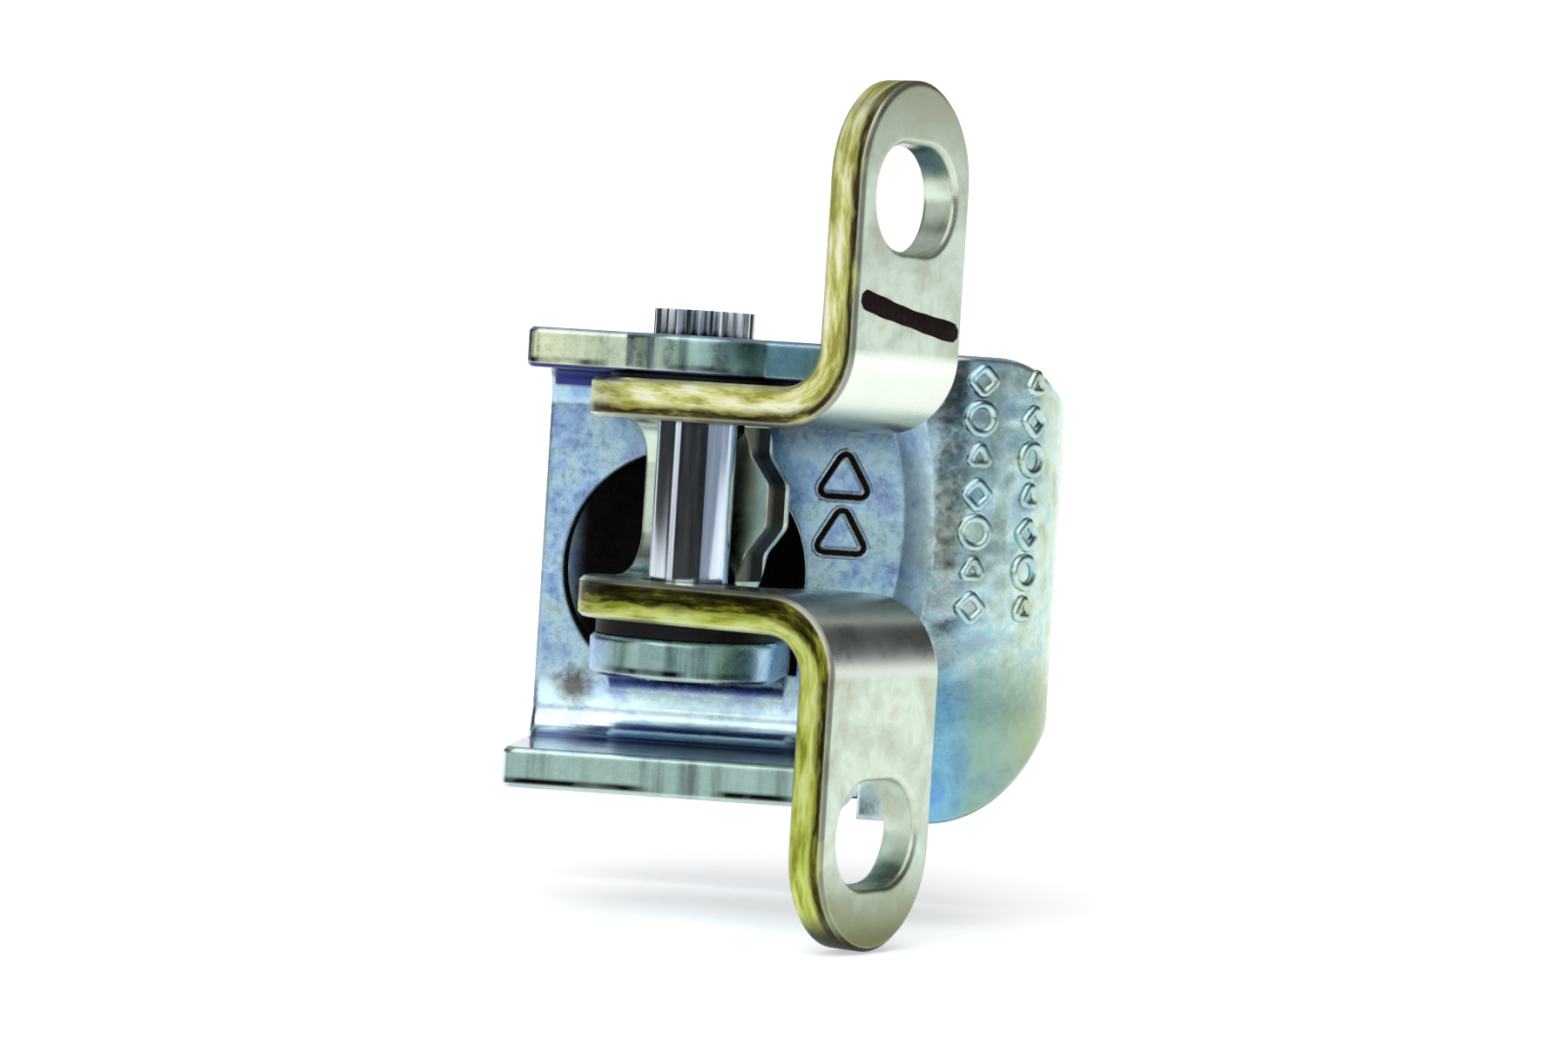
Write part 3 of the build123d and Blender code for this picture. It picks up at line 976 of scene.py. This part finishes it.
    def add_cut_film(self, on: StripMasks) -> Source:
        """Adds the film of the sheared edges, streaked along the strip, with a burnished and a torn half.

        Args:
            on: The shared nodes.

        Returns:
            The colour.
        """
        add = on.add
        from_axis = add("CombineXYZ", links={0: on.past_axis, 1: on.inside_axis})
        depth = add("VectorMath", LENGTH, {0: from_axis})
        run = add("Math", PLUS, {0: on.x, 1: on.height})
        strip_place = add("CombineXYZ", links={0: run, 1: depth, 2: on.z})
        stretch = {"operation": "DIVIDE", 1: tuple(Vector(self.streak_mm) * MM)}
        drawn_out = add("VectorMath", stretch, {0: strip_place})
        streaks = add("TexNoise", {"Scale": 1.0, "Detail": 3.0, "Roughness": 0.6}, {"Vector": drawn_out})
        wave = self.torn_wave_mm * MM
        wavy = add("Math", {**SCALE_AND_ADD, 1: wave, 2: -0.5 * wave}, {0: streaks})
        wavy_depth = add("Math", PLUS, {0: depth, 1: wavy})
        near_ear = add("MapRange", span(self.low_ear_mm), {"Value": on.height})
        low_ear = add("Math", TIMES, {0: near_ear, 1: on.low})
        deeper = add("Math", {**SCALE_AND_ADD, 1: self.low_ear_torn_mm * MM}, {0: low_ear, 2: wavy_depth})
        torn_half = add("MapRange", span(self.torn_mm), {"Value": deeper})
        burnished = add("ValToRGB", {"stops": self.burnished}, {"Fac": streaks})
        torn = add("ValToRGB", {"stops": self.torn}, {"Fac": streaks})
        film = add("Mix", BLEND, {"Factor": torn_half, 6: burnished, 7: torn})
        return add("Mix", {**TINT, 7: to_linear(self.low_cut)}, {"Factor": on.low, 6: film})

    def add_cut_mask(self, on: StripMasks) -> Source:
        """Adds the mask of the sheared faces: strip sides, tab ends and the ears' left ends, no slot walls.

        Args:
            on: The shared nodes.

        Returns:
            The mask.
        """
        add = on.add
        on_ear = add("Math", {"operation": "LESS_THAN", 1: self.fold_mm * MM}, {0: on.height})
        into_tip = add("Math", {**CLAMPED_MINUS, 1: self.tip_mm * MM}, {0: on.height})
        at_tip = add("Math", {"operation": "GREATER_THAN", 1: 0.0}, {0: into_tip})
        tip = add("Math", TIMES, {0: on.upright, 1: at_tip})
        from_line = add("CombineXYZ", links={0: on.y, 1: into_tip})
        off_line = add("VectorMath", LENGTH, {0: from_line})
        outside = add("Math", {"operation": "GREATER_THAN", 1: self.tip_r_mm * MM}, {0: off_line})
        rim = add("Math", LARGER, {0: outside, 1: on_ear})
        leftward = add("Math", {**TIMES, 1: -1.0}, {0: on.facing_x})
        at_left = add("Math", {"operation": "LESS_THAN", 1: 0.0}, {0: on.x})
        left = add("Math", TIMES, {0: leftward, 1: at_left})
        ahead = add("Math", {"operation": "LESS_THAN", 1: self.yoke_front_mm * MM}, {0: on.y})
        beyond = add("Math", {"operation": "GREATER_THAN", 1: self.yoke_top_mm * MM}, {0: on.height})
        off_yoke = add("Math", LARGER, {0: ahead, 1: beyond})
        strip_side = add("Math", TIMES, {0: on.side, 1: off_yoke})
        strip_or_tip = add("Math", LARGER, {0: strip_side, 1: tip})
        largest = add("Math", LARGER, {0: strip_or_tip, 1: left})
        sheared = add("Math", TIMES, {0: largest, 1: rim})
        return add("MapRange", span(self.cut_facing, 1.0), {"Value": sheared})

    def add_gap_shade(self, on: StripMasks, colour: Source) -> Source:
        """Adds painted shade, dark brown, on the ears' faces in the gap right of the pin, and the yoke's
        torn right edge.

        Args:
            on: The shared nodes.
            colour: Colour so far.

        Returns:
            The new colour.
        """
        add = on.add
        # Painted shade: dark brown on the ears' faces in the gap, right of the pin.
        gap_face = add("MapRange", span(self.gap_face_mm), {"Value": on.height})
        flat = add("MapRange", span(self.flat_facing, 1.0), {"Value": on.upright})
        past_pin = add("MapRange", {**span(self.past_pin_mm), "To Max": self.gap_shade_share}, {"Value": on.x})
        flat_gap = add("Math", TIMES, {0: gap_face, 1: flat})
        share = add("Math", TIMES, {0: flat_gap, 1: past_pin})
        gap_shaded = add("Mix", {**BLEND, 7: to_linear(self.brown)}, {"Factor": share, 6: colour})
        # The yoke's torn right edge: dark brown, partly painted shade, with a bright line on its rear edge.
        rightward = add("MapRange", span(self.right_facing, 1.0), {"Value": on.facing_x})
        yoke_cut = add("Math", TIMES, {0: on.in_gap, 1: rightward})
        to_rear = add("MapRange", span(self.yoke_mm), {"Value": on.y})
        yoke_torn_and_shade = add("ValToRGB", {"stops": self.yoke_torn_and_shade}, {"Fac": to_rear})
        return add("Mix", BLEND, {"Factor": yoke_cut, 6: gap_shaded, 7: yoke_torn_and_shade})

    def add_wear(self, on: StripMasks, colour: Source) -> Source:
        """Adds the edges worn bright by rubbing outside the gap, with a painted highlight, and painted shade
        in corners.

        Args:
            on: The shared nodes.
            colour: Colour so far.

        Returns:
            The new colour.
        """
        add = on.add
        # Painted highlight on top of wear along the broken edges, then painted shade in the corners.
        edge = add_edge_mask(add, on.rounded, self.edge_highlight_share)
        off_gap = add("Math", {"operation": "SUBTRACT", 0: 1.0}, {1: on.in_gap})
        rub = add("Math", TIMES, {0: edge, 1: off_gap})
        edged = add("Mix", {**BLEND, 7: to_linear(self.rubbed_edge_highlight)}, {"Factor": rub, 6: colour})
        return add_corner_shade(add, edged, self.corner, self.corner_shade_reach_mm)


@dataclass(frozen=True)
class TurnedPinSteel(Finish):
    """Bright steel, turned and rolled smooth, with faint lengthwise streaks and painted shade in the
    grooves.
    """

    name: str = "turned_pin_steel"
    colours: Stops = ((0.35, "#AEB9C4"), (0.65, "#CDD6DE"))
    groove: Stops = ((0.35, "#0A0A09"), (0.75, "#FFFFFF"))
    groove_shade_reach_mm: float = 0.8
    streak_mm: tuple[float, float, float] = (0.9, 0.9, 14.0)
    gloss: Pair = (0.06, 0.09)

    def surface(self, add: Adder) -> tuple[dict, dict]:
        """Adds the streaked steel and the painted shade in its grooves.

        Args:
            add: add_node, bound to the material's tree.

        Returns:
            The shader's settings and its links.
        """
        stretch = {"operation": "DIVIDE", 1: tuple(Vector(self.streak_mm) * MM)}
        drawn_out = add("VectorMath", stretch, {0: add("TexCoord").outputs["Object"]})
        streaks = add("TexNoise", {"Scale": 1.0, "Detail": 3.0}, {"Vector": drawn_out})
        colour = add("ValToRGB", {"stops": self.colours}, {"Fac": streaks})
        # Painted shade in the grooves, and where the pin meets other parts.
        groove_shaded = add_corner_shade(add, colour, self.groove, self.groove_shade_reach_mm)
        gloss = add("MapRange", from_noise(self.gloss), {"Value": streaks})
        return {"Metallic": 1.0}, {"Base Color": groove_shaded, "Roughness": gloss}


@dataclass(frozen=True)
class MouldedBushPlastic(Finish):
    """Moulded black acetal with a dull, slightly greasy skin."""

    name: str = "moulded_black_acetal"
    colours: Stops = ((0.35, "#050506"), (0.7, "#0E0E10"))
    skin_mm: float = 0.8
    skin_strength: float = 0.2
    roughness: float = 0.5
    shine: float = 0.15

    def surface(self, add: Adder) -> tuple[dict, dict]:
        """Adds the black plastic and its skin.

        Args:
            add: add_node, bound to the material's tree.

        Returns:
            The shader's settings and its links.
        """
        place = add("TexCoord").outputs["Object"]
        skin = add("TexNoise", {"Scale": 1 / (self.skin_mm * MM), "Detail": 2.0}, {"Vector": place})
        colour = add("ValToRGB", {"stops": self.colours}, {"Fac": skin})
        bump = add("Bump", {"Strength": self.skin_strength, "Distance": GRAIN_DEPTH}, {"Height": skin})
        settings = {"Roughness": self.roughness, "Specular IOR Level": self.shine}
        return settings, {"Base Color": colour, "Normal": bump}


@dataclass(frozen=True)
class MarkerInk(Finish):
    """Black felt-pen ink, dense in the middle of the stroke, with a dark brown cast where it lies thin."""

    name: str = "felt_pen_ink_and_groove_shade"
    colours: Stops = ((0.3, "#0D0908"), (0.75, "#2A1B16"))
    fibre_mm: float = 0.5
    roughness: float = 0.8
    shine: float = 0.1

    def surface(self, add: Adder) -> tuple[dict, dict]:
        """Adds the ink and its brown cast.

        Args:
            add: add_node, bound to the material's tree.

        Returns:
            The shader's settings and its links.
        """
        place = add("TexCoord").outputs["Object"]
        fibres = add("TexNoise", {"Scale": 1 / (self.fibre_mm * MM), "Detail": 3.0}, {"Vector": place})
        colour = add("ValToRGB", {"stops": self.colours}, {"Fac": fibres})
        settings = {"Roughness": self.roughness, "Specular IOR Level": self.shine}
        return settings, {"Base Color": colour}


@dataclass
class ChannelBracket:
    """The folded channel with its rolled nose and leaf, and the plain marks pressed into it.

    Lengths are in millimetres from the pin: x along the web, y back, z up.
    """

    zinc: bpy.types.Material
    ink: bpy.types.Material
    nose_x: float = 21.6
    nose_y: float = 27.1
    nose_r: float = 14.4
    column_angles: Pair = (25.0, 52.0)
    column_top: float = 14.0
    mark_pitch: float = 3.9
    mark_count: int = 7
    mark_sides: tuple[int, int, int] = (4, 24, 3)
    mark_r: float = 1.5
    mark_corner_r: float = 0.4
    bead_half_width: float = 0.5
    bead_rise: float = 0.5
    bead_steps: int = 6
    web_front: float = 14.3
    stamp_places: tuple[Pair, ...] = ((14.0, 2.9), (14.0, -2.9))
    stamp_sides: int = 3
    stamp_r: float = 3.4
    stamp_corner_r: float = 0.7
    lip_half_width: float = 0.2
    lip_rise: float = 0.12
    groove_half_width: float = 0.45
    groove_rise: float = 0.02
    root: float = 0.1

    def build(self) -> None:
        """Dresses the bracket and adds the marks on the nose and the web."""
        dress("channel_bracket", self.zinc)
        self.add_nose_marks()
        self.add_web_stamps()

    def on_nose(self, across: float, height: float, rise: float) -> Vector:
        """Gives a point on the rolled nose.

        Args:
            across: Millimetres round the nose from its front.
            height: Millimetres above the pin frame's middle.
            rise: Millimetres outside the nose's surface.

        Returns:
            The point in the row frame, in metres.
        """
        turn = across / self.nose_r
        radius = self.nose_r + rise
        x = self.nose_x + radius * math.sin(turn)
        y = self.nose_y - radius * math.cos(turn)
        return PIN + Vector((x, y, height)) * MM

    def on_web(self, across: float, height: float, rise: float) -> Vector:
        """Gives a point on the front of the web.

        Args:
            across: Millimetres to the right of the pin.
            height: Millimetres above the pin frame's middle.
            rise: Millimetres in front of the web.

        Returns:
            The point in the row frame, in metres.
        """
        return PIN + Vector((across, self.web_front - rise, height)) * MM

    def half_round(self, half_width: float, rise: float) -> list[Pair]:
        """Gives the section of a bead, with its feet under the surface.

        Args:
            half_width: Half the width of the bead.
            rise: Height of the bead.

        Returns:
            Offsets to the side with their heights.
        """
        turns = [math.pi * step / self.bead_steps for step in range(self.bead_steps + 1)]
        arc = [(half_width * math.cos(turn), rise * math.sin(turn)) for turn in turns]
        return [(half_width, -self.root), *arc, (-half_width, -self.root)]

    def add_nose_marks(self) -> None:
        """Adds two columns of plain raised lozenges, rings and triangles on the nose."""
        mesh = bmesh.new()
        section = self.half_round(self.bead_half_width, self.bead_rise)
        for column, angle in enumerate(self.column_angles):
            middle = math.radians(angle) * self.nose_r
            for row in range(self.mark_count):
                sides = self.mark_sides[(row + 2 * column) % len(self.mark_sides)]
                centre = Vector((middle, self.column_top - row * self.mark_pitch))
                path = rounded_polygon(centre, self.mark_r, sides, self.mark_corner_r)
                add_band(mesh, path, section, self.on_nose)
        new_piece("nose_marks", mesh, Body.CHANNEL, self.zinc)

    def add_web_stamps(self) -> None:
        """Adds two stamped triangles on the web: dark ink as painted shade in each groove, between two
        raised lips.
        """
        lips = bmesh.new()
        grooves = bmesh.new()
        lip = self.half_round(self.lip_half_width, self.lip_rise)
        half = self.groove_half_width
        root, rise = -self.root, self.groove_rise
        groove = [(half, root), (half, rise), (-half, rise), (-half, root)]
        for place in self.stamp_places:
            for mesh, section, offset in ((lips, lip, -half), (lips, lip, half), (grooves, groove, 0.0)):
                reach = self.stamp_r + 2 * offset
                path = rounded_polygon(Vector(place), reach, self.stamp_sides, self.stamp_corner_r + offset)
                add_band(mesh, path, section, self.on_web)
        new_piece("stamp_lips", lips, Body.CHANNEL, self.zinc)
        # Painted shade: the groove floors are a strip of the dark ink.
        new_piece("stamp_groove_shades", grooves, Body.CHANNEL, self.ink)


@dataclass
class TabBracket:
    """The slotted tab bracket, with the felt-pen stroke across its upper tab.

    Lengths are in millimetres from the pin in the bracket's own frame: x along the ears, y back, z up. The
    stroke's wobble holds the size of each wave as a share of the width, and its radians along the stroke.
    """

    zinc: bpy.types.Material
    ink: bpy.types.Material
    tab_face: float = 24.0
    stroke_points: tuple[Pair, ...] = ((-9.1, 20.95), (-0.8, 19.3), (9.2, 18.3))
    stroke_half_width: float = 0.95
    stroke_lift: float = 0.03
    stroke_root: float = 0.03
    stroke_steps: int = 28
    stroke_end_share: float = 0.05
    stroke_end_width_squared: float = 0.15
    stroke_wobble: tuple[Pair, ...] = ((0.06, 9.0), (0.03, 31.0))

    def build(self) -> None:
        """Dresses the bracket and adds the stroke."""
        dress("tab_bracket", self.zinc)
        self.add_stroke()

    def stroke_point(self, share: float) -> tuple[Vector, Vector]:
        """Gives the middle and the direction of the stroke.

        Args:
            share: From 0 at the front end to 1 at the rear end.

        Returns:
            The middle point and the unit direction along the stroke, as y and z in millimetres.
        """
        first, second, third = (Vector(point) for point in self.stroke_points)
        middle = (1 - share) ** 2 * first + 2 * share * (1 - share) * second + share**2 * third
        along = (1 - share) * (second - first) + share * (third - second)
        return middle, along.normalized()

    def stroke_half(self, share: float) -> float:
        """Gives half the width of the stroke, round at its ends and a little uneven.

        Args:
            share: From 0 at the front end to 1 at the rear end.

        Returns:
            The half width in millimetres.
        """
        from_end = min(share, 1 - share) / self.stroke_end_share
        taper = math.sqrt(max(self.stroke_end_width_squared, 1 - max(0.0, 1 - from_end) ** 2))
        wobble = 1 + sum(size * math.sin(rate * share) for size, rate in self.stroke_wobble)
        return self.stroke_half_width * taper * wobble

    def add_stroke(self) -> None:
        """Adds the stroke as a thin film of ink on the tab's outer face."""
        mesh = bmesh.new()
        to_row = Matrix.Translation(PIN) @ Matrix.Rotation(REST_TURN, 4, "Z")
        low, high = self.tab_face - self.stroke_root, self.tab_face + self.stroke_lift
        loops = []
        for step in range(self.stroke_steps + 1):
            share = step / self.stroke_steps
            middle, along = self.stroke_point(share)
            across = Vector((-along.y, along.x)) * self.stroke_half(share)
            loop = []
            for sign, depth in ((-1, low), (-1, high), (1, high), (1, low)):
                point = middle + sign * across
                loop.append(mesh.verts.new(to_row @ (Vector((depth, point.x, point.y)) * MM)))
            loops.append(loop)
        for before, after in zip(loops, loops[1:]):
            for side in range(len(before)):
                mesh.faces.new((before[side], before[side - 1], after[side - 1], after[side]))
        mesh.faces.new(loops[0])
        mesh.faces.new(list(reversed(loops[-1])))
        new_piece("pen_stroke", mesh, Body.TABS, self.ink)


@dataclass
class PinAndBushes:
    """The hinge pin and the two flanged bushes that turn on it."""

    steel: bpy.types.Material
    plastic: bpy.types.Material

    def build(self) -> None:
        """Dresses the pin and the bushes."""
        dress("hinge_pin", self.steel)
        dress("upper_bush", self.plastic)
        dress("lower_bush", self.plastic)


@dataclass(frozen=True)
class Softbox:
    """A rectangular lamp aimed at the middle of the object.

    Attributes:
        name: Name of the lamp.
        azimuth: Degrees round the object, 0 at the front and 90 at its right.
        elevation: Degrees above the horizon.
        distance: Metres from the object.
        size: Width and height in metres.
        radiance: Brightness of the lamp's face, where 1 is white.
        colour: Colour of the light.
    """

    name: str
    azimuth: float
    elevation: float
    distance: float
    size: Pair
    radiance: float
    colour: str = "#FFFFFF"


def from_object(azimuth: float, elevation: float) -> Vector:
    """Gives the unit direction from the object to a place round it.

    Args:
        azimuth: Degrees round the object, 0 at the front and 90 at its right.
        elevation: Degrees above the horizon.

    Returns:
        The direction in the row frame.
    """
    turn, rise = math.radians(azimuth), math.radians(elevation)
    level = math.cos(rise)
    return Vector((math.sin(turn) * level, -math.cos(turn) * level, math.sin(rise)))


@dataclass
class Studio:
    """White sweep, soft lamps and the camera at the photograph's angle.

    Lengths are in metres where their name gives no unit, and angles in degrees.
    """

    sweep_left: float = -1.2
    sweep_right: float = 3.0
    sweep_front: float = -0.4
    sweep_back: float = 1.4
    sweep_r: float = 0.5
    sweep_height: float = 0.5
    sweep_steps: int = 10
    floor_gap_mm: float = 0.2
    paper_tone: Stops = ((0.0, "#F6F6F6"), (1.0, "#FAFAFA"))
    paper_fibre_mm: float = 3.0
    near_glow: float = 0.5
    far_glow: float = 1.0
    glow_reach: Pair = (0.1, 0.6)
    world_grey: float = 0.05
    image_width: int = 1800
    focal_pixels: float = 5211.0
    sensor_mm: float = 36.0
    clip: Pair = (0.01, 100.0)
    azimuth: float = 4.759
    elevation: float = 1.437
    roll: float = 3.62
    distance_mm: float = 453.98
    look_from_pin_mm: tuple[float, float, float] = (9.227, 0.0, -1.476)
    lamps: tuple[Softbox, ...] = (
        Softbox("front_top_softbox", -6.0, 44.0, 1.0, (1.1, 1.8), 1.9),
        Softbox("left_strip", -52.0, 20.0, 0.9, (0.3, 1.4), 1.1),
        Softbox("right_panel", 74.0, 4.0, 0.9, (1.4, 0.6), 0.5, "#DCEBFF"),
        Softbox("rear_top_softbox", 190.0, 62.0, 1.0, (1.6, 1.4), 0.4),
    )

    def build(self) -> None:
        """Builds the stage, the world, the lamps and the camera."""
        self.add_sweep()
        self.add_world()
        for lamp in self.lamps:
            self.add_lamp(lamp)
        self.add_camera()

    def paper(self) -> bpy.types.Material:
        """Makes matt white studio paper, which looks white from afar and still takes a soft shadow.

        What the camera, metal and glass see of it glows, and more so away from the object. The light that it
        throws back as a matt surface is only what falls on it.

        Returns:
            The finished material.
        """
        material, add = start_material("matt_white_studio_paper")
        fibre = add("TexNoise", {"Scale": 1 / (self.paper_fibre_mm * MM), "Detail": 2.0})
        tone = add("ValToRGB", {"stops": self.paper_tone}, {"Fac": fibre})
        matt = add("BsdfDiffuse", links={"Color": tone})
        away = add("VectorMath", LENGTH, {0: add("TexCoord").outputs["Object"]})
        glows = {"To Min": self.near_glow, "To Max": self.far_glow}
        strength = add("MapRange", {**SMOOTH, **span(self.glow_reach, 1.0), **glows}, {"Value": away})
        glow = add("Emission", links={"Strength": strength})
        glowing = add("AddShader", links={0: matt, 1: glow})
        path = add("LightPath").outputs
        seen = add("Math", LARGER, {0: path["Is Camera Ray"], 1: path["Is Glossy Ray"]})
        seen_at_all = add("Math", LARGER, {0: seen, 1: path["Is Transmission Ray"]})
        mixed = add("MixShader", links={0: seen_at_all, 1: matt, 2: glowing})
        add("OutputMaterial", links={"Surface": mixed})
        return material

    def add_sweep(self) -> None:
        """Adds the floor that curves up into a backdrop, just under the object."""
        floor = cad_low.z - self.floor_gap_mm * MM
        profile = [(self.sweep_front, floor)]
        for step in range(self.sweep_steps + 1):
            turn = 0.5 * math.pi * step / self.sweep_steps
            back = self.sweep_back - self.sweep_r + self.sweep_r * math.sin(turn)
            profile.append((back, floor + self.sweep_r * (1 - math.cos(turn))))
        profile.append((self.sweep_back, floor + self.sweep_height))
        mesh = bmesh.new()
        sides = (self.sweep_left, self.sweep_right)
        left, right = ([mesh.verts.new((x, y, z)) for y, z in profile] for x in sides)
        for i in range(len(profile) - 1):
            mesh.faces.new((left[i], right[i], right[i + 1], left[i + 1]))
        sweep = new_object("studio_sweep", mesh, self.paper())

    def add_world(self) -> None:
        """Adds the room: white where the camera sees it, dark grey as a light."""
        world = bpy.data.worlds.new("studio_room")
        bpy.context.scene.world = world
        world.use_nodes = True
        world.node_tree.nodes.clear()
        add = partial(add_node, world.node_tree)
        room = add("Background", {"Strength": self.world_grey})
        white = add("Background", {"Strength": 1.0})
        sight = add("LightPath").outputs["Is Camera Ray"]
        mixed = add("MixShader", links={0: sight, 1: room, 2: white})
        add("OutputWorld", links={"Surface": mixed})

    def add_lamp(self, lamp: Softbox) -> None:
        """Adds a soft lamp in its place and turns it to the object.

        Args:
            lamp: Its place, size and brightness.
        """
        data = bpy.data.lights.new(lamp.name, "AREA")
        data.shape = "RECTANGLE"
        data.size, data.size_y = lamp.size
        data.energy = lamp.radiance * math.pi * lamp.size[0] * lamp.size[1]
        data.color = to_linear(lamp.colour)[:3]
        thing = bpy.data.objects.new(lamp.name, data)
        bpy.context.scene.collection.objects.link(thing)
        back = from_object(lamp.azimuth, lamp.elevation)
        thing.location = (cad_low + cad_high) / 2 + back * lamp.distance
        thing.rotation_mode = "QUATERNION"
        thing.rotation_quaternion = (-back).to_track_quat("-Z", "Y")
        thing.visible_camera = False

    def add_camera(self) -> None:
        """Adds the camera where the photograph was taken from."""
        data = bpy.data.cameras.new("photo_camera")
        data.sensor_fit = "HORIZONTAL"
        data.sensor_width = self.sensor_mm
        data.lens = self.sensor_mm * self.focal_pixels / self.image_width
        data.clip_start, data.clip_end = self.clip
        back = from_object(self.azimuth, self.elevation)
        turn = math.radians(self.azimuth)
        level = Vector((math.cos(turn), math.sin(turn), 0.0))
        above = back.cross(level)
        roll = math.radians(self.roll)
        right = level * math.cos(roll) + above * math.sin(roll)
        up = above * math.cos(roll) - level * math.sin(roll)
        eye = PIN + Vector(self.look_from_pin_mm) * MM + back * self.distance_mm * MM
        camera = bpy.data.objects.new("photo_camera", data)
        bpy.context.scene.collection.objects.link(camera)
        camera.matrix_world = Matrix.Translation(eye) @ Matrix((right, up, back)).transposed().to_4x4()
        bpy.context.scene.camera = camera


def main() -> None:
    """Builds the dressed hinge and its studio in order."""
    logging.basicConfig(level=logging.INFO, format="%(name)s: %(message)s")
    bpy.context.scene.view_settings.view_transform = "Standard"
    # The ink is also the painted shade in the stamped grooves on the web.
    ink = MarkerInk().build()
    ChannelBracket(BluePassivatedZinc().build(), ink).build()
    TabBracket(YellowChromatedZinc().build(), ink).build()
    PinAndBushes(TurnedPinSteel().build(), MouldedBushPlastic().build()).build()
    Studio().build()


if __name__ == "__main__":
    main()
